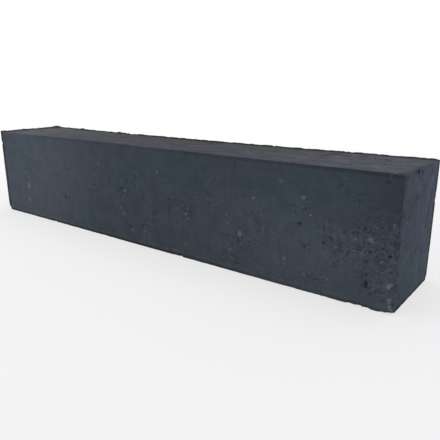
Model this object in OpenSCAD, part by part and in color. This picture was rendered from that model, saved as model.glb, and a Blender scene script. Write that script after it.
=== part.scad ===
// Concrete stacking block for low garden walls, edging and steps.
// One solid pressed block, laid on its bed face and glued or dry-stacked course on course.
// The origin is the centre of the bed face: +X runs along the wall, +Y goes through it, +Z is up.

/* [Block] */
// Length along the wall
block_length = 600; // [200:10:1000]
// Depth through the wall
block_depth = 100; // [60:5:250]
// Height of one course
block_height = 120; // [60:5:250]

/* [Arrises] */
// Radius of the four upright corners, left by the mould's own corners
corner_radius = 2.5; // [2.5:0.5:15]
// Radius of the arris round the top face, under the press plate
top_radius = 1; // [0.5:0.5:2]
// Radius of the arris round the bed face, worn by handling
bed_radius = 2; // [0.5:0.5:2]

/* [Hidden] */
$fn = 64;
concrete = [0.235, 0.26, 0.29];
// How far a cut runs past the surface that it cuts
past = 1;

// What a rounded arris takes off a square corner that stands at the origin
module arris_cut(radius) {
    difference() {
        translate([-past, -past]) square(radius + past);
        translate([radius, radius]) circle(radius);
    }
}

// Upright section of one side, depth of concrete from x = 0 out to its face, which ends in the two arrises
module side_section(depth) {
    difference() {
        square([depth, block_height]);
        translate([depth, block_height]) rotate(180) arris_cut(top_radius);
        translate([depth, 0]) rotate(90) arris_cut(bed_radius);
    }
}

// A straight side with its face on the origin, towards +X, stopped where the upright corners begin
module straight_side(length, depth) {
    difference() {
        translate([-depth, 0, 0])
            rotate([90, 0, 0])
                linear_extrude(length, center = true) side_section(depth);
        for (end = [-1, 1])
            translate([0, end * length / 2, 0])
                cube([2 * (depth + past), 2 * corner_radius, 2 * (block_height + past)], center = true);
    }
}

// An upright corner, a quarter turn of the same section, with its outer corner on the origin
module upright_corner() {
    translate([-corner_radius, -corner_radius, 0])
        rotate_extrude(angle = 90) side_section(corner_radius);
}

module block() {
    color(concrete)
        for (half = [0, 1]) {
            // front and back, each to the middle of the block
            rotate(90 + 180 * half)
                translate([block_depth / 2, 0, 0]) straight_side(block_length, block_depth / 2);
            // the two ends, only as deep as the corners
            rotate(180 * half)
                translate([block_length / 2, 0, 0]) straight_side(block_depth, corner_radius);
            for (front = [0, 1])
                mirror([half, 0, 0]) mirror([0, front, 0])
                    translate([block_length / 2, block_depth / 2, 0]) upright_corner();
        }
}

block();
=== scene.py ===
import math

import bpy
import numpy as np
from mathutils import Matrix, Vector


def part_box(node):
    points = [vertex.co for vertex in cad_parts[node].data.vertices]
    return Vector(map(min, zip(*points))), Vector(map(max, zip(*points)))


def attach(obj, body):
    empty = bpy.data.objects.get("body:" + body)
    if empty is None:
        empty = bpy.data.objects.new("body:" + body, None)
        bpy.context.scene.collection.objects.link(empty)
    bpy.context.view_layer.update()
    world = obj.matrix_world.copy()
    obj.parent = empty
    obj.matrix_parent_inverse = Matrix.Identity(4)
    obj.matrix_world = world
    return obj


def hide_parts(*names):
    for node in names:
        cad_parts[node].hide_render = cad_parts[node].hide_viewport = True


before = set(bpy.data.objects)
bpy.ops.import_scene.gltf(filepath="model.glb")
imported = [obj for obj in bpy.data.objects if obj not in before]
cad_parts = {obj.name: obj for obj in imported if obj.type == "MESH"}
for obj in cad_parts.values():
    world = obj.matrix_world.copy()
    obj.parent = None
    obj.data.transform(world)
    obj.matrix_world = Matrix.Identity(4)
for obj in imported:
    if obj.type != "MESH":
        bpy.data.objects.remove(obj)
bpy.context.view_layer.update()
mm = 0.001

# The viewpoint. It stands off the right-hand end, a little above the block, and looks along it,
# so that the long moulded face, the pressed top and the right end all show.
camera = bpy.data.objects.new("camera", bpy.data.cameras.new("camera"))
camera.data.lens = 39.7
camera.data.sensor_width = 36
camera.data.clip_start = 0.01
camera.location = (0.4128, -0.4324, 0.1893)
camera.rotation_euler = (math.radians(74.24), math.radians(0.16), math.radians(37.67))
bpy.context.scene.collection.objects.link(camera)
bpy.context.scene.camera = camera

# The stacking block: semi-dry concrete, coloured through with black oxide, shaken and pressed in
# a steel mould. The mould's sides leave closed faces with air voids and starved patches, the press
# plate leaves a drag-marked top inside a thin burr, and stripping and stacking knock the arrises.
block_low, block_high = (Vector(corner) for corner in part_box("block"))
length, depth, height = block_high - block_low
most_triangles = 190000

# Larger voids of the long face, in mm: from the left end, up, half width, half height, how deep
long_face_voids = (
    (57, 69, 1.8, 1.3, 1.2), (71, 69, 1.8, 1.3, 1.2), (151, 40, 2.4, 1.7, 1.8),
    (162, 79, 2.8, 1.5, 1.4), (115, 36, 2.0, 1.0, 0.4), (250, 43, 2.2, 1.3, 1.4),
    (266, 67, 2.2, 1.5, 1.4), (261, 72, 1.0, 1.0, 0.8), (280, 21, 2.5, 1.6, 1.6),
    (301, 27, 1.5, 1.0, 1.2), (301, 22, 1.6, 1.0, 1.4), (376, 55, 2.6, 1.4, 1.7),
    (388, 76, 1.6, 1.6, 0.4), (402, 77, 1.6, 1.4, 0.5), (436, 107, 0.9, 0.9, 0.8),
    (426, 21, 1.2, 0.9, 0.9), (435, 22, 1.2, 0.8, 0.8), (447, 33, 1.4, 1.0, 0.6),
    (473, 68, 1.2, 1.6, 0.8), (488, 45, 1.4, 1.0, 0.7), (509, 65, 3.6, 1.5, 2.2),
    (504, 76, 1.4, 1.1, 1.0), (514, 79, 1.4, 1.1, 1.0), (516, 44, 2.0, 1.4, 0.9),
    (534, 51, 2.0, 1.1, 2.0), (541, 58, 1.2, 1.1, 1.2), (524, 18, 1.3, 1.0, 0.9),
    (533, 20, 1.2, 1.0, 1.0), (548, 105, 1.0, 0.8, 0.6), (564, 99, 2.6, 0.8, 0.7),
    (575, 22, 2.7, 4.4, 2.6), (575, 31, 1.6, 1.2, 1.0), (580, 14, 2.2, 1.8, 1.0),
    (594, 51, 2.4, 1.8, 2.0), (591, 56, 1.7, 1.3, 1.5), (597, 55, 1.5, 1.5, 1.5),
    (596, 63, 1.4, 1.6, 1.2), (566, 70, 1.5, 1.2, 1.3), (571, 58, 1.3, 1.6, 1.2),
    (584, 73, 1.5, 1.1, 1.2), (588, 60, 1.2, 1.2, 1.1),
)
# The same on the right end, measured from its front arris
right_end_voids = (
    (3, 86, 2.0, 1.8, 1.8), (8, 84, 2.4, 1.5, 1.7), (13, 88, 1.9, 1.3, 1.3), (17, 82, 2.2, 1.2, 1.4),
    (6, 79, 2.0, 1.2, 1.4), (37, 94, 2.0, 1.2, 1.4), (30, 25, 2.4, 1.5, 1.4), (3, 63, 1.7, 1.7, 1.3),
    (4, 52, 1.7, 1.5, 1.3), (35, 118.0, 4.2, 3.0, 4.2), (27, 117.5, 1.6, 1.2, 1.6),
    (45, 115.0, 2.0, 2.2, 2.4), (49, 117.5, 1.2, 1.2, 1.2), (52, 104, 1.0, 0.8, 0.4),
    (60, 58, 1.2, 0.8, 0.4), (78, 30, 1.0, 0.9, 0.4),
)
# Scratches on the top, in mm: their two ends from the block's middle, half width, how deep
top_scratches = (
    ((200, 8), (205, 37), 2.8, 1.4), ((247, 24), (262, 22), 2.4, 1.9), ((150, 34), (176, 37), 1.6, 0.8),
    ((20, 30), (52, 33), 1.6, 0.7), ((-120, 8), (-84, 12), 1.2, 0.4), ((268, -8), (281, -7), 1.6, 0.6),
    ((216, 26), (223, 23), 1.6, 0.9), ((233, 29), (240, 30), 1.5, 0.8),
    ((234, -29), (241, -31), 1.6, 0.7), ((232, 3), (234, 3), 1.6, 1.2),
)
# A scratch is a row of hollows: how far each strays to the side, in half widths, and how deep it is
scratch_strays = (0.3, -0.5, 0.1, 0.6)
scratch_depths = (1.0, 0.7, 0.9, 0.45)
# Knocks on the arrises, in mm from the block's middle and bed, with the radius of the scoop
arris_knocks = (
    ((300, -50, 88), 4.5), ((300, -50, 79), 4.0), ((300, -50, 62), 5.0), ((300, -50, 50), 4.5),
    ((300, -50, 22), 9.0), ((300, -50, 8), 5.0), ((300, -16, 120), 5.0), ((300, -23, 120), 4.0),
    ((288, -50, 120), 2.2), ((-300, -50, 1), 9.0), ((262, -50, 0), 4.5), ((270, -50, 0), 5.0),
    ((277, -50, 0), 4.5), ((-300, -50, 103), 3.5), ((300, 50, 2), 5.0), ((120, 50, 119), 4.0),
    ((-180, -50, 1), 4.5), ((60, -50, 1), 4.0), ((-300, 50, 70), 6.0), ((-40, 50, 1), 7.0),
    ((-120, 50, 119), 5.0), ((300, 50, 82), 4.0), ((180, 50, 1), 5.0),
)


def spots(name, places, **values):
    """A loose set of points that carry numbers, for the block's tree to read."""
    mesh = bpy.data.meshes.new(name)
    mesh.from_pydata(places, [], [])
    for key, column in values.items():
        many = isinstance(column[0], tuple)
        attribute = mesh.attributes.new(key, "FLOAT_VECTOR" if many else "FLOAT", "POINT")
        for item, value in zip(attribute.data, column):
            setattr(item, "vector" if many else "value", value)
    return bpy.data.objects.new(name, mesh)


voids = [((block_low.x / mm + x, block_low.y / mm, z), *rest) for x, z, *rest in long_face_voids]
voids += [((block_high.x / mm, block_low.y / mm + y, z), *rest) for y, z, *rest in right_end_voids]
for start, end, wide, sunk in top_scratches:
    steps = round((Vector(end) - Vector(start)).length / wide)
    for step in range(steps + 1):
        along = Vector(start).lerp(Vector(end), step / steps)
        stray = wide * scratch_strays[step % len(scratch_strays)]
        deep = sunk * scratch_depths[step % len(scratch_depths)]
        voids.append(((along.x, along.y + stray, height / mm), wide, wide * 0.8, deep))
void_spots = spots(
    "voids",
    [tuple(axis * mm for axis in place) for place, *_ in voids],
    half_size=[(wide * mm, wide * mm, tall * mm) for _, wide, tall, _ in voids],
    sunk=[sunk * mm for *_, sunk in voids],
)
knock_spots = spots(
    "arris knocks",
    [tuple(axis * mm for axis in place) for place, _ in arris_knocks],
    scoop=[scoop * mm for _, scoop in arris_knocks],
)


def feed(tree, socket, value):
    """Gives a socket a plain value or another socket's output."""
    if isinstance(value, bpy.types.NodeSocket):
        tree.links.new(value, socket)
    else:
        socket.default_value = value


def add(tree, kind, sockets=(), output=None, **settings):
    """Adds a node with its settings, feeds its named inputs and gives an output, or the first."""
    node = tree.nodes.new(kind)
    for name, value in settings.items():
        setattr(node, name, value)
    inputs = {socket.name: socket for socket in reversed(node.inputs) if socket.enabled}
    for name, value in dict(sockets).items():
        feed(tree, inputs[name], value)
    return next((s for s in node.outputs if s.enabled and output in (None, s.name)), None)


def maths(tree, operation, *values, clamp=False):
    node = tree.nodes.new("ShaderNodeMath")
    node.operation = operation
    node.use_clamp = clamp
    for socket, value in zip(node.inputs, values):
        feed(tree, socket, value)
    return node.outputs[0]


def times(tree, *values):
    total = values[0]
    for value in values[1:]:
        total = maths(tree, "MULTIPLY", total, value)
    return total


def most(tree, *values):
    total = values[0]
    for value in values[1:]:
        total = maths(tree, "MAXIMUM", total, value)
    return total


def total_of(tree, *values):
    total = values[0]
    for value in values[1:]:
        total = maths(tree, "ADD", total, value)
    return total


def vectors(tree, operation, *values, scale=None):
    node = tree.nodes.new("ShaderNodeVectorMath")
    node.operation = operation
    for socket, value in zip(node.inputs, values):
        feed(tree, socket, value)
    if scale is not None:
        feed(tree, node.inputs["Scale"], scale)
    return next(socket for socket in node.outputs if socket.enabled)


def split(tree, vector):
    node = tree.nodes.new("ShaderNodeSeparateXYZ")
    feed(tree, node.inputs[0], vector)
    return node.outputs


def join(tree, x, y, z):
    return add(tree, "ShaderNodeCombineXYZ", {"X": x, "Y": y, "Z": z})


def ramp(tree, value, start, end, low=0.0, high=1.0, kind="SMOOTHSTEP"):
    """Runs from low to high as value goes from start to end."""
    sockets = {"Value": value, "From Min": start, "From Max": end, "To Min": low, "To Max": high}
    return add(tree, "ShaderNodeMapRange", sockets, interpolation_type=kind)


def slope(tree, value, start, end, low=0.0, high=1.0):
    return ramp(tree, value, start, end, low, high, "LINEAR")


def near(tree, value, centre, far, close):
    """Runs from 0 to 1 as value comes from far off the centre to close by it."""
    return ramp(tree, maths(tree, "ABSOLUTE", total_of(tree, value, -centre)), far, close)


def blend(tree, amount, a, b):
    return add(tree, "ShaderNodeMix", {"Factor": amount, "A": a, "B": b})


def noise(tree, place, scale, detail=2.0, roughness=0.5, output="Fac"):
    sockets = {"Vector": place, "Scale": scale, "Detail": detail, "Roughness": roughness}
    return add(tree, "ShaderNodeTexNoise", sockets, output)


def new_group(name, kind, inputs, outputs):
    """Makes a node group with named sockets; gives the tree, its inputs and what it puts out."""
    tree = bpy.data.node_groups.new(name, kind)
    for key, (socket_kind, value) in inputs.items():
        socket = tree.interface.new_socket(key, in_out="INPUT", socket_type="NodeSocket" + socket_kind)
        if value is not None:
            socket.default_value = value
    for key, socket_kind in outputs.items():
        tree.interface.new_socket(key, in_out="OUTPUT", socket_type="NodeSocket" + socket_kind)
    return tree, tree.nodes.new("NodeGroupInput").outputs, tree.nodes.new("NodeGroupOutput").inputs


def use_group(tree, group, sockets):
    """Places a group in a tree, feeds its named inputs and gives its outputs."""
    node = tree.nodes.new(tree.bl_idname.replace("Tree", "Group"))
    node.node_tree = group
    for name, value in sockets.items():
        feed(tree, node.inputs[name], value)
    return node.outputs


def stored(tree, name, kind="FLOAT"):
    return add(tree, "GeometryNodeInputNamedAttribute", {"Name": name}, data_type=kind)


def store(tree, geometry, name, value, kind="FLOAT"):
    sockets = {"Geometry": geometry, "Name": name, "Value": value}
    return add(tree, "GeometryNodeStoreNamedAttribute", sockets, data_type=kind)


def sampled(tree, geometry, value, index, kind="FLOAT"):
    sockets = {"Geometry": geometry, "Value": value, "Index": index}
    return add(tree, "GeometryNodeSampleIndex", sockets, data_type=kind)


def move(tree, geometry, **sockets):
    return add(tree, "GeometryNodeSetPosition", {"Geometry": geometry} | sockets)


# A void is sunk straight into its face, with its own size and depth, a ragged outline and lumps
# of sand left standing in it. It gets painted shade, the darker the deeper it is, up to a full shade
full_void_shade = 1.8
sink, given, result = new_group(
    "sink voids", "GeometryNodeTree",
    {"Block": ("Geometry", None), "Voids": ("Geometry", None), "Raggedness": ("Float", 0.8 * mm)},
    {"Block": "Geometry"},
)
place = stored(sink, "moulded_place", "FLOAT_VECTOR")
shake = vectors(sink, "SUBTRACT", noise(sink, place, 420.0, 3.0, 0.6, "Color"), (0.5, 0.5, 0.5))
shake = vectors(sink, "SCALE", shake, scale=times(sink, given["Raggedness"], 4.0))
lumps = ramp(sink, noise(sink, place, 600.0, 2.0), 0.3, 0.6, 0.35, 1.0)
place = vectors(sink, "ADD", place, shake)
sockets = {"Geometry": given["Voids"], "Sample Position": place}
nearest = add(sink, "GeometryNodeSampleNearest", sockets)
own_place = add(sink, "GeometryNodeInputPosition")
centre = sampled(sink, given["Voids"], own_place, nearest, "FLOAT_VECTOR")
half_size = stored(sink, "half_size", "FLOAT_VECTOR")
half_size = sampled(sink, given["Voids"], half_size, nearest, "FLOAT_VECTOR")
sunk = sampled(sink, given["Voids"], stored(sink, "sunk"), nearest)
off_centre = vectors(sink, "DIVIDE", vectors(sink, "SUBTRACT", place, centre), half_size)
fall = times(sink, ramp(sink, vectors(sink, "LENGTH", off_centre), 1.1, 0.4), sunk, lumps)
inward = vectors(sink, "SCALE", stored(sink, "facing", "FLOAT_VECTOR"), scale=times(sink, fall, -1.0))
hollow = maths(sink, "MINIMUM", maths(sink, "DIVIDE", fall, 1.5 * mm), full_void_shade)
hollow = most(sink, stored(sink, "hollow"), hollow)
feed(sink, result["Block"], store(sink, move(sink, given["Block"], Offset=inward), "hollow", hollow))

# A knock scoops an arris out: what lies in a ball that stands off the arris is pushed to its skin
knock, given, result = new_group(
    "knock arrises", "GeometryNodeTree",
    {"Block": ("Geometry", None), "Knocks": ("Geometry", None), "Middle": ("Vector", (0, 0, 0)),
     "Half size": ("Vector", (1, 1, 1)), "Stand-off": ("Float", 0.5)},
    {"Block": "Geometry"},
)
place = add(knock, "GeometryNodeInputPosition")
sockets = {"Geometry": given["Knocks"], "Sample Position": place}
nearest = add(knock, "GeometryNodeSampleNearest", sockets)
spot = sampled(knock, given["Knocks"], place, nearest, "FLOAT_VECTOR")
scoop = sampled(knock, given["Knocks"], stored(knock, "scoop"), nearest)
side = vectors(knock, "DIVIDE", vectors(knock, "SUBTRACT", spot, given["Middle"]), given["Half size"])
near_side = split(knock, vectors(knock, "ABSOLUTE", side))
near_side = join(knock, *(maths(knock, "GREATER_THAN", axis, 0.95) for axis in near_side))
away = vectors(knock, "MULTIPLY", vectors(knock, "SIGN", side), near_side)
stand_off = times(knock, scoop, given["Stand-off"])
away = vectors(knock, "SCALE", vectors(knock, "NORMALIZE", away), scale=stand_off)
from_ball = vectors(knock, "SUBTRACT", place, vectors(knock, "ADD", spot, away))
reach = times(knock, scoop, slope(knock, noise(knock, place, 300.0, 3.0, 0.6), 0.25, 0.75, 0.82, 1.18))
push = most(knock, maths(knock, "SUBTRACT", reach, vectors(knock, "LENGTH", from_ball)), 0.0)
pushed = vectors(knock, "SCALE", vectors(knock, "NORMALIZE", from_ball), scale=push)
broken = most(knock, stored(knock, "broken"), maths(knock, "DIVIDE", push, 0.5 * mm, clamp=True))
feed(knock, result["Block"], store(knock, move(knock, given["Block"], Offset=pushed), "broken", broken))

# The block's own tree starts from a fine box that remembers, at each point, the face it is on and
# its place on the mould
tree, given, result = new_group("pressed block", "GeometryNodeTree", {
    "Length": ("Float", length), "Depth": ("Float", depth), "Height": ("Float", height),
    "Corner radius": ("Float", 0.9 * mm), "Top radius": ("Float", 0.7 * mm),
    "Bed radius": ("Float", 1.2 * mm), "Wear": ("Float", 1.8 * mm), "Grid step": ("Float", 0.8 * mm),
    "Grit relief": ("Float", 0.5 * mm), "Press sink": ("Float", 0.1 * mm), "Sag": ("Float", 0.9 * mm),
    "Crown": ("Float", 0.8 * mm), "Gutter": ("Float", 0.8 * mm), "Burr height": ("Float", 2.0 * mm),
    "Seed": ("Int", 5),
    "Voids": ("Object", None), "Knocks": ("Object", None), "Concrete": ("Material", None),
}, {"Block": "Geometry"})


def count(along):
    return maths(tree, "ROUND", maths(tree, "DIVIDE", given[along], given["Grid step"]))


size = join(tree, given["Length"], given["Depth"], given["Height"])
half = vectors(tree, "SCALE", size, scale=0.5)
middle = join(tree, 0.0, 0.0, times(tree, given["Height"], 0.5))
box = add(tree, "GeometryNodeMeshCube", {
    "Size": size,
    "Vertices X": count("Length"), "Vertices Y": count("Depth"), "Vertices Z": count("Height"),
})
position = add(tree, "GeometryNodeInputPosition")
on_face = vectors(tree, "SCALE", half, scale=0.9999)
on_face = vectors(tree, "DIVIDE", vectors(tree, "ABSOLUTE", position), on_face)
on_face = join(tree, *(maths(tree, "FLOOR", axis) for axis in split(tree, on_face)))
facing = vectors(tree, "NORMALIZE", vectors(tree, "MULTIPLY", on_face, vectors(tree, "SIGN", position)))
box = store(tree, box, "facing", facing, "FLOAT_VECTOR")
box = move(tree, box, Offset=middle)
box = store(tree, box, "moulded_place", position, "FLOAT_VECTOR")
box = store(tree, box, "hollow", 0.0)
box = store(tree, box, "broken", 0.0)
place = stored(tree, "moulded_place", "FLOAT_VECTOR")
facing = stored(tree, "facing", "FLOAT_VECTOR")
from_middle = vectors(tree, "SUBTRACT", place, middle)
x, y, z = split(tree, place)
side_x, side_y, side_z = split(tree, facing)
to_top = maths(tree, "SUBTRACT", given["Height"], z)
x_gap, y_gap, _ = split(tree, vectors(tree, "SUBTRACT", half, vectors(tree, "ABSOLUTE", from_middle)))
is_top = maths(tree, "GREATER_THAN", side_z, 0.5)
is_end = maths(tree, "GREATER_THAN", maths(tree, "ABSOLUTE", side_x), 0.5)
is_front = maths(tree, "LESS_THAN", side_y, -0.5)

# Arris radius: by height, and worn more in some stretches than in others
radius = blend(tree, ramp(tree, to_top, 6 * mm, 1 * mm), given["Corner radius"], given["Top radius"])
bed_radius = times(tree, given["Bed radius"], ramp(tree, x, -0.25, 0.1, 1.3, 0.5))
radius = blend(tree, ramp(tree, z, 8 * mm, 2 * mm), radius, bed_radius)
worn = ramp(tree, noise(tree, place, 70.0, 4.0, 0.65), 0.5, 0.8)
worn = times(tree, worn, ramp(tree, to_top, 3 * mm, 20 * mm, 0.15, 1.0))
right_end_top = times(tree, ramp(tree, x, 0.288, 0.294), ramp(tree, to_top, 10 * mm, 4 * mm), 1.6)
right_end_top = times(tree, right_end_top, ramp(tree, y, 0.035, 0.0))
bed_worn = times(tree, worn, ramp(tree, z, 10 * mm, 3 * mm), ramp(tree, x, 0.08, 0.14, 0.8, 0.25))
radius = total_of(tree, radius, times(tree, given["Wear"], most(tree, worn, bed_worn, right_end_top)))
inner = vectors(tree, "SUBTRACT", half, join(tree, radius, radius, radius))
core = vectors(tree, "MAXIMUM", from_middle, vectors(tree, "SCALE", inner, scale=-1.0))
core = vectors(tree, "MINIMUM", core, inner)
outward = vectors(tree, "NORMALIZE", vectors(tree, "SUBTRACT", from_middle, core))
rounded = vectors(tree, "ADD", core, vectors(tree, "SCALE", outward, scale=radius))
block = move(tree, box, Position=vectors(tree, "ADD", rounded, middle))

# Chance voids and open grain: fewer near the top, on the ends and on the smooth left of the long
# face, most in the starved patch by the right end, and some round each larger void
patchy = ramp(tree, noise(tree, place, 48.0, 2.0, 0.5), 0.50, 0.66, 0.03, 1.0)
lower = ramp(tree, to_top, 14 * mm, 45 * mm, 0.04, 1.0)
rightward = blend(tree, is_front, 1.0, ramp(tree, x, -0.25, -0.05, 0.25, 1.0))
calm = blend(tree, is_end, blend(tree, is_top, 1.0, 0.5), 0.55)
chance = times(tree, patchy, lower, rightward, calm)
patch_middle = (0.283, -0.05, 0.058)
patch_reach = (0.040, 0.018, 0.040)
to_patch = vectors(tree, "DIVIDE", vectors(tree, "SUBTRACT", place, patch_middle), patch_reach)
starved = ramp(tree, vectors(tree, "LENGTH", to_patch), 1.0, 0.35)
voids_by_hand = add(tree, "GeometryNodeObjectInfo", {"Object": given["Voids"]}, "Geometry")
to_void = add(tree, "GeometryNodeProximity", {"Geometry": voids_by_hand, "Sample Position": place},
              "Distance", target_element="POINTS")
clusters = ramp(tree, noise(tree, place, 110.0, 2.0), 0.4, 0.6)
clusters = times(tree, clusters, ramp(tree, to_void, 11 * mm, 3 * mm))
open_grain = most(tree, times(tree, chance, 0.7), times(tree, starved, 0.88))
open_grain = most(tree, open_grain, times(tree, clusters, 0.95))
block = store(tree, block, "open", open_grain)
grit = ramp(tree, noise(tree, place, 420.0, 3.0, 0.6), 0.35, 0.65, 0.0, given["Grit relief"])
grit = times(tree, grit, open_grain, -1.0)
block = move(tree, block, Offset=vectors(tree, "SCALE", facing, scale=grit))


def chance_voids(seed, apart, densest, share, smallest, largest):
    """Scatters voids over the box, each with its own size and depth."""
    points = add(tree, "GeometryNodeDistributePointsOnFaces", {
        "Mesh": box, "Distance Min": apart, "Density Max": densest, "Density Factor": share,
        "Seed": maths(tree, "ADD", given["Seed"], seed),
    }, distribute_method="POISSON")

    def dice(low, high, throw):
        return add(tree, "FunctionNodeRandomValue", {"Min": low, "Max": high, "Seed": 10 * seed + throw})

    scale = slope(tree, maths(tree, "POWER", dice(0.0, 1.0, 1), 2.5), 0.0, 1.0, smallest, largest)
    half_length = times(tree, scale, dice(0.8, 1.6, 2))
    half_height = times(tree, scale, dice(0.8, 1.3, 3))
    half_size = join(tree, half_length, scale, half_height)
    points = store(tree, points, "half_size", half_size, "FLOAT_VECTOR")
    return store(tree, points, "sunk", times(tree, scale, dice(0.4, 0.9, 4)))


def sink_voids(block, voids, raggedness):
    return use_group(tree, sink, {"Block": block, "Voids": voids, "Raggedness": raggedness})[0]


block = sink_voids(block, voids_by_hand, 0.9 * mm)
# Three runs: how far apart, the most to a square metre, where, smallest, largest, raggedness
chance_runs = (
    (3.0 * mm, 12000.0, starved, 0.8 * mm, 2.0 * mm, 0.6 * mm),
    (9.0 * mm, 2500.0, chance, 0.8 * mm, 1.8 * mm, 0.8 * mm),
    (3.2 * mm, 5000.0, open_grain, 0.6 * mm, 1.3 * mm, 0.3 * mm),
)
for seed, (*scatter, raggedness) in enumerate(chance_runs, start=1):
    block = sink_voids(block, chance_voids(seed, *scatter), raggedness)

# Lumps of the burr: place from the block's middle and radius, in mm, and share of its height
burr_lumps = (
    (-300, 46, 24, 1.7), (-233, 50, 12, 1.4), (-146, 50, 12, 1.2), (-300, -44, 10, 1.3),
    (-300, -12, 8, 1.5), (-300, 4, 6, 1.3),
)
# Press marks: the plate sinks and bows the top a little, drags a few grooves along it, and
# concrete squeezed past the plate stands as a thin burr at the back and the left
bow = times(tree, given["Sag"], near(tree, x, 0.0, 0.3, 0.0), ramp(tree, y, -0.02, 0.05))
crown = near(tree, x, -0.1, 0.19, 0.05)
crown = most(tree, crown, ramp(tree, x, -0.05, 0.05, 0.0, 0.6), ramp(tree, x, 0.2, 0.27))
crown = times(tree, given["Crown"], crown, ramp(tree, y, 0.02, -0.05))
crown = times(tree, crown, ramp(tree, to_top, 15 * mm, 0.0))
drawn_out = vectors(tree, "MULTIPLY", place, (0.35, 1.0, 1.0))
waves = ramp(tree, noise(tree, drawn_out, 60.0, 3.0), 0.3, 0.7, 0.0, 0.3 * mm)
edge_gap = maths(tree, "MINIMUM", x_gap, y_gap)
at_back_or_left = most(tree, ramp(tree, y, 0.03, 0.04), ramp(tree, x, -0.285, -0.292))
rim = times(tree, ramp(tree, edge_gap, 3.4 * mm, 1.6 * mm), at_back_or_left, is_top)
gutter = times(tree, given["Gutter"], ramp(tree, edge_gap, 14 * mm, 3 * mm), at_back_or_left)
burr = ramp(tree, noise(tree, place, 110.0, 4.0, 0.7), 0.35, 0.65, 0.5, 0.9)
burr = total_of(tree, burr, ramp(tree, x, -0.285, -0.292, 0.0, 0.35))
for lump_x, lump_y, lump_radius, lump_height in burr_lumps:
    to_lump = vectors(tree, "DISTANCE", place, (lump_x * mm, lump_y * mm, height))
    burr = most(tree, burr, ramp(tree, to_lump, lump_radius * mm, 0.0, 0.0, lump_height))
press = total_of(tree, given["Press sink"], bow, waves, gutter)
press = maths(tree, "SUBTRACT", times(tree, burr, given["Burr height"], rim), press)
raised = total_of(tree, times(tree, press, is_top), crown)
block = move(tree, block, Offset=join(tree, 0.0, 0.0, raised))
# Painted shade of the burr, with mould oil and dirt, darkens the top beside it, widest left of the
# middle
stain = blend(tree, times(tree, ramp(tree, x, -0.29, -0.2), ramp(tree, x, 0.2, 0.0)), 2 * mm, 11 * mm)
stain = times(tree, stain, slope(tree, noise(tree, place, 75.0, 4.0, 0.65), 0.3, 0.7, 0.2, 1.6))
darkened_edge = ramp(tree, maths(tree, "SUBTRACT", edge_gap, stain), 3.5 * mm, -3.0 * mm)
darkened_edge = times(tree, darkened_edge, at_back_or_left, is_top)
block = store(tree, block, "burr", darkened_edge)

knocks_by_hand = add(tree, "GeometryNodeObjectInfo", {"Object": given["Knocks"]}, "Geometry")
block = use_group(tree, knock, {
    "Block": block, "Knocks": knocks_by_hand, "Middle": middle, "Half size": half,
})[0]

# The bottom right corner has broken away along a rough plane
cut_face = Vector((1 / 15, -1 / 6.5, -1 / 4)).normalized()
cut_place = Vector((length / 2 - 15 * mm, -depth / 2, 0))
beyond = vectors(tree, "SUBTRACT", position, tuple(cut_place))
beyond = vectors(tree, "DOT_PRODUCT", beyond, tuple(cut_face))
roughly = slope(tree, noise(tree, place, 220.0, 4.0, 0.6), 0.3, 0.7, -0.7 * mm, 0.7 * mm)
beyond = most(tree, total_of(tree, beyond, roughly), 0.0)
beyond = times(tree, beyond, ramp(tree, x, 0.27, 0.282))
broken = most(tree, stored(tree, "broken"), maths(tree, "DIVIDE", beyond, 0.5 * mm, clamp=True))
block = store(tree, block, "broken", broken)
cut_away = vectors(tree, "SCALE", tuple(cut_face), scale=times(tree, beyond, -1.0))
block = move(tree, block, Offset=cut_away)

block = add(tree, "GeometryNodeSetShadeSmooth", {"Geometry": block})
block = add(tree, "GeometryNodeRealizeInstances", {"Geometry": block})
block = add(tree, "GeometryNodeSetMaterial", {"Geometry": block, "Material": given["Concrete"]})
feed(tree, result["Block"], block)

# Sand grain: the tone and relief of the sand that shows through the cement skin
grain, given, result = new_group(
    "sand grain", "ShaderNodeTree",
    {"Place": ("Vector", None), "Grain size": ("Float", 1.2 * mm)},
    {"Tone": "Float", "Relief": "Float"},
)
fine = noise(grain, given["Place"], maths(grain, "DIVIDE", 1.0, given["Grain size"]), 4.0, 0.7)
feed(grain, result["Tone"], slope(grain, fine, 0.25, 0.75, -1.0, 1.0))
feed(grain, result["Relief"], slope(grain, fine, 0.2, 0.8, 0.0, 1.0))

# Grit: single grains or pinholes, a share of the cells of a random pattern, each of its own size
grit_group, given, result = new_group(
    "grit", "ShaderNodeTree",
    {"Place": ("Vector", None), "Spacing": ("Float", 3.0 * mm), "Share": ("Float", 0.2),
     "Size": ("Float", 0.3), "Softness": ("Float", 0.1)},
    {"Mask": "Float", "Pick": "Float"},
)
cells = {"Vector": given["Place"], "Scale": maths(grit_group, "DIVIDE", 1.0, given["Spacing"])}
off_middle = add(grit_group, "ShaderNodeTexVoronoi", cells, "Distance")
throw, own_size, pick = split(grit_group, add(grit_group, "ShaderNodeTexVoronoi", cells, "Color"))
reach = times(grit_group, given["Size"], slope(grit_group, own_size, 0.0, 1.0, 0.4, 1.0))
inside = ramp(grit_group, off_middle, total_of(grit_group, reach, given["Softness"]), reach)
taken = maths(grit_group, "LESS_THAN", throw, given["Share"])
feed(grit_group, result["Mask"], times(grit_group, inside, taken))
feed(grit_group, result["Pick"], pick)

# Drag marks: fine streaks along the way that the mould or the press plate slid off
drag, given, result = new_group(
    "drag marks", "ShaderNodeTree",
    {"Place": ("Vector", None), "Squeeze": ("Vector", (1.0, 1.0, 0.05)), "Width": ("Float", 2.0 * mm)},
    {"Marks": "Float"},
)
drawn_out = vectors(drag, "MULTIPLY", given["Place"], given["Squeeze"])
streaks = noise(drag, drawn_out, maths(drag, "DIVIDE", 1.0, given["Width"]), 3.0, 0.6)
feed(drag, result["Marks"], slope(drag, streaks, 0.3, 0.7, -1.0, 1.0))

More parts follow.
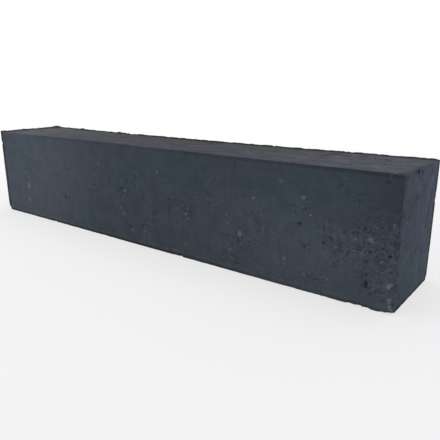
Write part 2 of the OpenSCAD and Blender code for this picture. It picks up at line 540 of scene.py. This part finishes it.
# The concrete's finish: a thin skin of blue-grey cement over sand and grit, struck smooth by the
# steel, opened by the voids, and marked by lime, dirt and handling
#
# Larger pale grains and smears of cement on the long face, in mm: from the left end, up, radius,
# and how pale
pale_grains = (
    (63, 45, 5.0, 0.38), (61, 25, 3.8, 0.36), (76, 8, 2.2, 0.4), (227, 93, 3.0, 0.2),
    (272, 65, 1.9, 0.9), (264, 43, 1.8, 0.6), (269, 36, 1.7, 0.6), (283, 18, 2.0, 0.5),
    (293, 33, 1.6, 0.45), (293, 89, 2.0, 0.35), (304, 20, 1.8, 0.5), (373, 47, 1.6, 0.5),
    (328, 93, 2.4, 0.6), (370, 52, 2.2, 0.8), (369, 17, 2.4, 0.25), (360, 72, 2.6, 0.2),
    (425, 60, 1.6, 0.6), (427, 51, 1.6, 0.5), (442, 43, 3.4, 0.75), (454, 60, 2.4, 0.25),
    (458, 82, 1.9, 0.55), (489, 102, 2.6, 0.3), (494, 28, 2.0, 0.42), (512, 90, 2.6, 0.4),
    (520, 75, 1.3, 0.9), (516, 17, 1.6, 0.5), (540, 18, 1.6, 0.45), (576, 63, 2.3, 0.7),
    (582, 53, 1.4, 0.9), (595, 78, 2.2, 0.5), (587, 45, 1.5, 0.6), (596, 25, 3.4, 0.85),
    (597, 14, 1.6, 0.5), (596, 12, 1.6, 0.6), (597, 10, 1.7, 0.6), (597, 7.5, 1.7, 0.6),
    (598, 5, 1.7, 0.5), (588, 119, 1.8, 0.35),
)
concrete = bpy.data.materials.new("anthracite concrete")
concrete.use_nodes = True
paint = concrete.node_tree
bsdf = paint.nodes["Principled BSDF"]
place = add(paint, "ShaderNodeTexCoord", output="Object")
x, y, z = split(paint, place)


def dyed(amount, a, b):
    return add(paint, "ShaderNodeMix", {"Factor": amount, "A": a, "B": b}, data_type="RGBA")


def seen(name, output="Fac"):
    return add(paint, "ShaderNodeAttribute", output=output, attribute_name=name)


def turned(side, way=1):
    """Tells where the skin faces one way, fading over the arris."""
    return ramp(paint, side, 0.3 * way, 0.9 * way)


def clouds(scale, detail, roughness):
    """Soft patches that run from -1 to 1."""
    return ramp(paint, noise(paint, place, scale, detail, roughness), 0.3, 0.7, -1.0, 1.0)


def dragged(squeeze, width):
    return use_group(paint, drag, {"Place": place, "Squeeze": squeeze, "Width": width})["Marks"]


def gritted(at, spacing, share):
    return use_group(paint, grit_group, {"Place": at, "Spacing": spacing, "Share": share, "Size": 0.26})


def toned(shade, mask, tone, elsewhere=1.0, full=1.0):
    """Multiplies the shade by tone where the mask is full, and by elsewhere where it is nothing."""
    return times(paint, shade, slope(paint, mask, 0.0, full, elsewhere, tone))


side_x, side_y, side_z = split(paint, seen("facing", "Vector"))
is_top = turned(side_z)
is_end = turned(maths(paint, "ABSOLUTE", side_x))
is_front = turned(side_y, -1)
broken = seen("broken")
open_grain = seen("open")

# The mix: clouds and patches of richer and leaner paste, and sand that shows least on the struck
# sides, more on the ends and the top, and most in open grain
cloud = clouds(14.0, 3.0, 0.55)
patch = clouds(60.0, 3.0, 0.6)
mottle_and_lump_shade = clouds(150.0, 4.0, 0.7)
patch_depth = slope(paint, open_grain, 0.0, 0.4, 0.085, 0.12)
patch_depth = most(paint, patch_depth, times(paint, is_end, 0.20), times(paint, is_top, 0.26))
open_amount = slope(paint, open_grain, 0.0, 0.7, 0.095, 1.0)
open_amount = most(paint, open_amount, times(paint, is_end, 0.65), times(paint, is_top, 0.60))
coarse_sand = use_group(paint, grain, {"Place": place, "Grain size": 4.2 * mm})
fine_sand = use_group(paint, grain, {"Place": place, "Grain size": 1.2 * mm})
pale_grit = gritted(place, 3.6 * mm, slope(paint, open_grain, 0.1, 0.9, 0.0, 0.35))
shifted = vectors(paint, "ADD", place, (0.3, 0.2, 0.1))
dark_grit = gritted(shifted, 2.6 * mm, slope(paint, open_grain, 0.1, 0.9, 0.04, 0.40))

# Drag marks: upright on the sides and the ends, combed deeper near the right end of the long face,
# and lengthwise on the top
side_drag = dragged((1.0, 1.0, 0.06), 2.2 * mm)
end_drag = dragged((1.0, 1.0, 0.04), 9.0 * mm)
top_drag = dragged((0.06, 1.0, 1.0), 5.0 * mm)
scuffed = ramp(paint, noise(paint, place, 25.0, 2.0), 0.4, 0.65, 0.01, 0.09)
combed = times(paint, near(paint, x, 0.225, 0.06, 0.02), near(paint, z, 0.040, 0.035, 0.010), 0.07)
scuffed = total_of(paint, scuffed, combed)
marks = blend(paint, is_top, times(paint, side_drag, scuffed), times(paint, top_drag, 0.055))
marks = total_of(paint, marks, times(paint, end_drag, is_end, 0.08))

shade = total_of(paint, 1.0, times(paint, cloud, 0.05), times(paint, patch, patch_depth), marks)
# On the top the mottle and the deeper patches partly paint the light and shade of its lumps
shade = total_of(paint, shade, times(paint, mottle_and_lump_shade, is_top, 0.15))
shade = total_of(paint, shade, times(paint, coarse_sand["Tone"], open_amount, 0.45))
shade = total_of(paint, shade, times(paint, fine_sand["Tone"], open_amount, 0.35))
shade = toned(shade, dark_grit["Mask"], 0.7)
# Painted shade in the voids, darker the deeper they are
shade = toned(shade, seen("hollow"), 0.35, full=full_void_shade)
# The top beside the burr: partly painted shade of the burr, partly mould oil and dirt
shade = toned(shade, seen("burr"), 0.45)
# A pale line just above the bed is a painted highlight, and the bed arris under it painted shade
uneven = ramp(paint, noise(paint, place, 45.0, 2.0), 0.35, 0.6, 0.3, 1.0)
painted_bed_highlight = times(paint, ramp(paint, z, 8.0 * mm, 5.5 * mm), ramp(paint, z, 3.5 * mm, 5.0 * mm), uneven)
painted_bed_shade = most(paint, is_end, ramp(paint, x, 0.18, -0.05, 0.28, 1.0))
painted_bed_shade = times(paint, ramp(paint, z, 4.0 * mm, 2.5 * mm), painted_bed_shade)
shade = toned(shade, painted_bed_highlight, 1.2)
shade = toned(shade, painted_bed_shade, 0.43)
# The upright arrises are darker in a ragged band, all but the one by the starved patch
x_gap = maths(paint, "SUBTRACT", length / 2, maths(paint, "ABSOLUTE", x))
y_gap = maths(paint, "SUBTRACT", depth / 2, maths(paint, "ABSOLUTE", y))
wander = slope(paint, noise(paint, place, 120.0, 5.0, 0.75), 0.3, 0.7, -1.0 * mm, 8.5 * mm)
wander = times(paint, total_of(paint, wander, 2.8 * mm), most(paint, 0.35, is_front, turned(side_x)))
darkened_edge = ramp(paint, maths(paint, "SUBTRACT", most(paint, x_gap, y_gap), wander), 2.0 * mm, -1.5 * mm)
by_patch = ramp(paint, total_of(paint, x, times(paint, y, -2.0)), 0.3, 0.35)
darkened_edge = times(paint, darkened_edge, maths(paint, "SUBTRACT", 1.0, by_patch))
shade = toned(shade, darkened_edge, 0.40)

# The smooth left third of the long face is painted lighter, as a grazing sheen, and its middle duller;
# painted shade lies under the top arris, strongest at the right, and low down there it is scoured paler
painted_sheen = times(paint, is_front, ramp(paint, total_of(paint, x, times(paint, cloud, 0.03)), -0.065, -0.20))
# Painted shade under the top arris of the long face, strongest at the right
painted_lip_shade = times(paint, is_front, ramp(paint, z, 0.1155, 0.1185), ramp(paint, x, -0.27, -0.22))
painted_lip_shade = times(paint, painted_lip_shade, ramp(paint, x, -0.05, 0.25, 0.45, 1.0), slope(paint, uneven, 0.3, 1.0, 0.7, 1.0))
upper_band = times(paint, is_front, ramp(paint, z, 0.099, 0.116))
painted_sheen_dull_middle = times(paint, is_front, near(paint, x, 0.03, 0.20, 0.09))
far_left = times(paint, is_front, ramp(paint, x, -0.23, -0.28))
dull_corner = times(paint, is_front, ramp(paint, x, 0.19, 0.28), ramp(paint, z, 0.04, 0.075))
dark_corner = times(paint, is_front, ramp(paint, x, 0.265, 0.29), ramp(paint, z, 0.075, 0.095))
bared = times(paint, is_front, ramp(paint, x, 0.05, 0.18), ramp(paint, z, 0.10, 0.06))
# The top is dull along its middle, and a scrape and a groove run slantwise down each end
mid_top = times(paint, is_top, near(paint, x, 0.0, 0.24, 0.06))
scuff = noise(paint, place, 130.0, 3.0, 0.6)
across = total_of(paint, y, times(paint, z, -0.3), slope(paint, scuff, 0.3, 0.7, -1.6 * mm, 1.6 * mm))
high_up = times(paint, is_end, ramp(paint, z, 0.045, 0.08))
scrape = times(paint, near(paint, across, -2 * mm, 4.5 * mm, 1.5 * mm), high_up)
scrape = times(paint, scrape, ramp(paint, scuff, 0.62, 0.42, 0.35, 1.0))
groove = times(paint, near(paint, across, 5 * mm, 3 * mm, 1 * mm), high_up)
groove = times(paint, groove, ramp(paint, scuff, 0.38, 0.58, 0.3, 1.0))
end_fade = times(paint, is_end, slope(paint, y, 0.03, -0.05, 0.0, 1.0))
far_low = times(paint, is_end, ramp(paint, z, 0.08, 0.02), ramp(paint, y, -0.02, 0.02))
# Each with the tone off it and the tone on it
for mask, off_it, on_it in (
    (painted_lip_shade, 1.0, 0.66), (mid_top, 1.0, 0.71), (painted_sheen_dull_middle, 0.97, 0.875), (far_left, 1.0, 0.94),
    (dull_corner, 1.0, 0.915), (dark_corner, 1.0, 0.85), (upper_band, 1.0, 0.93), (far_low, 1.0, 1.10),
    (painted_sheen, 0.90, 1.08), (end_fade, 1.20, 0.98), (bared, 1.0, 1.16), (scrape, 1.0, 1.42),
    (groove, 1.0, 0.84),
):
    shade = toned(shade, mask, on_it, off_it)

# The tint: the oxide's blue-grey, each face between two tints, with lilac bloom at the left of the
# long face, browner low down and at the back of the top
tint = ramp(paint, noise(paint, place, 15.0, 3.0, 0.6), 0.40, 0.60)
skin = dyed(tint, (0.0388, 0.0536, 0.0700, 1), (0.0426, 0.0523, 0.0706, 1))
low_right = times(paint, ramp(paint, x, 0.15, 0.25), ramp(paint, z, 0.10, 0.08))
skin = dyed(low_right, skin, (0.0412, 0.0532, 0.0700, 1))
lilac = maths(paint, "ABSOLUTE", total_of(paint, x, times(paint, z, -1.0), 0.21))
lilac = ramp(paint, total_of(paint, lilac, times(paint, cloud, -0.02)), 0.095, 0.03)
lilac = times(paint, is_front, most(paint, lilac, times(paint, far_left, 0.5)), 0.65)
skin = dyed(lilac, skin, (0.0490, 0.0522, 0.0730, 1))
skin = dyed(ramp(paint, z, 24 * mm, 6 * mm, 0.0, 0.7), skin, (0.0465, 0.0540, 0.0660, 1))
end_skin = dyed(tint, (0.0440, 0.0638, 0.0910, 1), (0.0485, 0.0618, 0.0945, 1))
low_back = times(paint, ramp(paint, z, 0.06, 0.01), ramp(paint, y, -0.01, 0.04))
end_skin = dyed(low_back, end_skin, (0.0435, 0.0670, 0.0880, 1))
end_skin = dyed(ramp(paint, z, 0.111, 0.119, 0.0, 0.75), end_skin, (0.0450, 0.0555, 0.0730, 1))
skin = dyed(is_end, skin, end_skin)
top_front = dyed(tint, (0.0376, 0.0440, 0.0603, 1), (0.0405, 0.0434, 0.0592, 1))
top_back = dyed(tint, (0.0385, 0.0412, 0.0468, 1), (0.0405, 0.0408, 0.0476, 1))
backward = ramp(paint, total_of(paint, y, times(paint, cloud, 0.01)), 0.0, 0.025)
top_skin = dyed(backward, top_front, top_back)
top_skin = dyed(ramp(paint, x, 0.18, 0.28, 0.0, 0.8), top_skin, (0.0445, 0.0520, 0.0685, 1))
top_skin = dyed(ramp(paint, x, -0.17, -0.27, 0.0, 0.9), top_skin, (0.0565, 0.0605, 0.0700, 1))
skin = dyed(is_top, skin, top_skin)
fresh_break = (0.085, 0.10, 0.115, 1)
pale_stone = (0.15, 0.175, 0.20, 1)
wobble = vectors(paint, "SUBTRACT", noise(paint, place, 420.0, 3.0, 0.6, "Color"), (0.5, 0.5, 0.5))
ragged_place = vectors(paint, "ADD", place, vectors(paint, "SCALE", wobble, scale=5.0 * mm))
pale = times(paint, pale_grit["Mask"], slope(paint, pale_grit["Pick"], 0.0, 1.0, 0.1, 0.6))
for along, up, grain_radius, paleness in pale_grains:
    centre = (block_low.x + along * mm, block_low.y, up * mm)
    gap = vectors(paint, "DISTANCE", ragged_place, centre)
    edge, core = 1.25 * grain_radius * mm, 0.1 * grain_radius * mm
    pale = most(paint, pale, ramp(paint, gap, edge, core, 0.0, paleness))
skin = dyed(times(paint, broken, 0.6), skin, fresh_break)
skin = dyed(pale, skin, pale_stone)
feed(paint, bsdf.inputs["Base Color"], vectors(paint, "SCALE", skin, scale=shade))
feed(paint, bsdf.inputs["Roughness"], slope(paint, fine_sand["Tone"], -1.0, 1.0, 0.72, 0.92))
bsdf.inputs["Specular IOR Level"].default_value = 0.2

# The fine relief: sand and grit stand proud, pinholes and drag marks are sunk, and a break is rough
fine_relief = slope(paint, open_grain, 0.0, 0.8, 0.05, 0.20)
coarse_relief = slope(paint, open_grain, 0.0, 0.8, 0.05, 0.35)
relief = times(paint, fine_sand["Relief"], fine_relief)
relief = total_of(paint, relief, times(paint, coarse_sand["Relief"], coarse_relief))
relief = total_of(paint, relief, times(paint, marks, 0.15))
relief = total_of(paint, relief, times(paint, pale_grit["Mask"], 0.10, open_amount))
relief = maths(paint, "SUBTRACT", relief, times(paint, dark_grit["Mask"], 0.30, open_amount))
relief = total_of(paint, relief, times(paint, fine_sand["Relief"], broken, 0.4))
bump = add(paint, "ShaderNodeBump", {"Height": relief, "Distance": mm, "Strength": 1.0})
feed(paint, bsdf.inputs["Normal"], bump)

# The block becomes one plain mesh: its tree is evaluated, thinned to the triangles it may have, and
# kept without the modifiers
piece = bpy.data.objects.new("pressed_block", bpy.data.meshes.new("pressed_block"))
bpy.context.scene.collection.objects.link(piece)
shape = piece.modifiers.new("shape", "NODES")
shape.node_group = tree
chosen = {"Voids": void_spots, "Knocks": knock_spots, "Concrete": concrete}
for item in tree.interface.items_tree:
    if item.name in chosen:
        shape[item.identifier] = chosen[item.name]
evaluated = piece.evaluated_get(bpy.context.evaluated_depsgraph_get())
thin = piece.modifiers.new("thin", "DECIMATE")
thin.ratio = min(1.0, most_triangles / (2 * len(evaluated.data.polygons)))
thin.use_collapse_triangulate = True
piece.modifiers.new("only triangles", "TRIANGULATE")
evaluated = piece.evaluated_get(bpy.context.evaluated_depsgraph_get())
mesh = bpy.data.meshes.new_from_object(evaluated)
piece.modifiers.clear()
piece.data = mesh

# The map for the exported finish: each face laid flat, the four long ones in rows, and the ends
# beside each other above them
corner_count = len(mesh.loops)
point_of = np.empty(corner_count, dtype=np.int32)
mesh.loops.foreach_get("vertex_index", point_of)
points = np.empty(len(mesh.vertices) * 3, dtype=np.float32)
mesh.vertices.foreach_get("co", points)
points = points.reshape(-1, 3)
faced = np.empty(len(mesh.vertices) * 3, dtype=np.float32)
mesh.attributes["facing"].data.foreach_get("vector", faced)
triangles = faced.reshape(-1, 3)[point_of].reshape(-1, 3, 3).sum(axis=1)
axis = np.abs(triangles).argmax(axis=1)
positive = triangles[np.arange(len(axis)), axis] > 0
row_gap = 5 * mm
map_side = length + 2 * row_gap
end_row = 5 * row_gap + 2 * height + 2 * depth
row_starts = {
    (1, False): (row_gap, row_gap),
    (1, True): (row_gap, 2 * row_gap + height),
    (2, False): (row_gap, 3 * row_gap + 2 * height),
    (2, True): (row_gap, 4 * row_gap + 2 * height + depth),
    (0, False): (row_gap, end_row),
    (0, True): (2 * row_gap + depth, end_row),
}
corners = points[point_of] - np.array(block_low, dtype=np.float32)
flat = np.empty((corner_count, 2), dtype=np.float32)
for (face_axis, face_positive), (row_x, row_y) in row_starts.items():
    on_it = np.repeat((axis == face_axis) & (positive == face_positive), 3)
    along_axis, up_axis = {0: (1, 2), 1: (0, 2), 2: (0, 1)}[face_axis]
    flat[on_it, 0] = row_x + corners[on_it, along_axis]
    flat[on_it, 1] = row_y + corners[on_it, up_axis]
mesh.uv_layers.new(name="OFBake").data.foreach_set("uv", (flat / map_side).ravel())
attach(piece, "root")
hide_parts("block")

# The studio: a pale floor that keeps the block's soft shadow and runs out into a white surround,
# under a broad overhead lamp and a weaker, cooler one at the left.
floor_reach = 6.0
floor = bpy.data.objects.new("floor", bpy.data.meshes.new("floor"))
corners = [(x * floor_reach, y * floor_reach, 0) for x, y in ((-1, -1), (1, -1), (1, 1), (-1, 1))]
floor.data.from_pydata(corners, [], [(0, 1, 2, 3)])
bpy.context.scene.collection.objects.link(floor)
pale_floor = bpy.data.materials.new("pale floor")
pale_floor.use_nodes = True
floor_tree = pale_floor.node_tree
floor_bsdf = floor_tree.nodes["Principled BSDF"]
floor_bsdf.inputs["Base Color"].default_value = (0.8, 0.8, 0.8, 1)
floor_bsdf.inputs["Roughness"].default_value = 0.9
# Away from the block the floor runs out into white, for the eye only
far = vectors(floor_tree, "LENGTH", add(floor_tree, "ShaderNodeTexCoord", output="Object"))
glow = ramp(floor_tree, far, 0.3, 1.1, 0.63, 1.0)
glow = times(floor_tree, glow, add(floor_tree, "ShaderNodeLightPath", output="Is Camera Ray"))
white = add(floor_tree, "ShaderNodeEmission", {"Color": (1, 1, 1, 1), "Strength": 1.0})
laid = floor_tree.nodes.new("ShaderNodeMixShader")
feed(floor_tree, laid.inputs[0], glow)
feed(floor_tree, laid.inputs[1], floor_bsdf.outputs[0])
feed(floor_tree, laid.inputs[2], white)
feed(floor_tree, floor_tree.nodes["Material Output"].inputs["Surface"], laid.outputs[0])
floor.data.materials.append(pale_floor)

world = bpy.data.worlds.new("studio")
world.use_nodes = True
sky = world.node_tree
light_path = sky.nodes.new("ShaderNodeLightPath")
sky_strength = 0.72
white_rays = ("Is Camera Ray", "Is Glossy Ray", "Is Transmission Ray")
seen_white = most(sky, *(light_path.outputs[ray] for ray in white_rays))
background = sky.nodes["Background"]
background.inputs["Color"].default_value = (1, 1, 1, 1)
feed(sky, background.inputs["Strength"], slope(sky, seen_white, 0.0, 1.0, sky_strength, 1.0))
bpy.context.scene.world = world
bpy.context.scene.view_settings.view_transform = "Standard"


def soft_lamp(name, place, aim, width, power, colour):
    """A square studio lamp that faces its aim."""
    lamp = bpy.data.objects.new(name, bpy.data.lights.new(name, "AREA"))
    lamp.data.size = width
    lamp.data.energy = power
    lamp.data.color = colour
    lamp.location = place
    lamp.rotation_euler = (Vector(aim) - Vector(place)).to_track_quat("-Z", "Y").to_euler()
    bpy.context.scene.collection.objects.link(lamp)


soft_lamp(
    "overhead", place=(0.1, 0.3, 1.6), aim=(0, 0, 0.05), width=1.2, power=5.5, colour=(1.0, 0.98, 0.96),
)
soft_lamp(
    "left", place=(-1.3, -0.7, 0.5), aim=(-0.2, 0, 0.06), width=0.8, power=6.0, colour=(0.9, 0.95, 1.0),
)
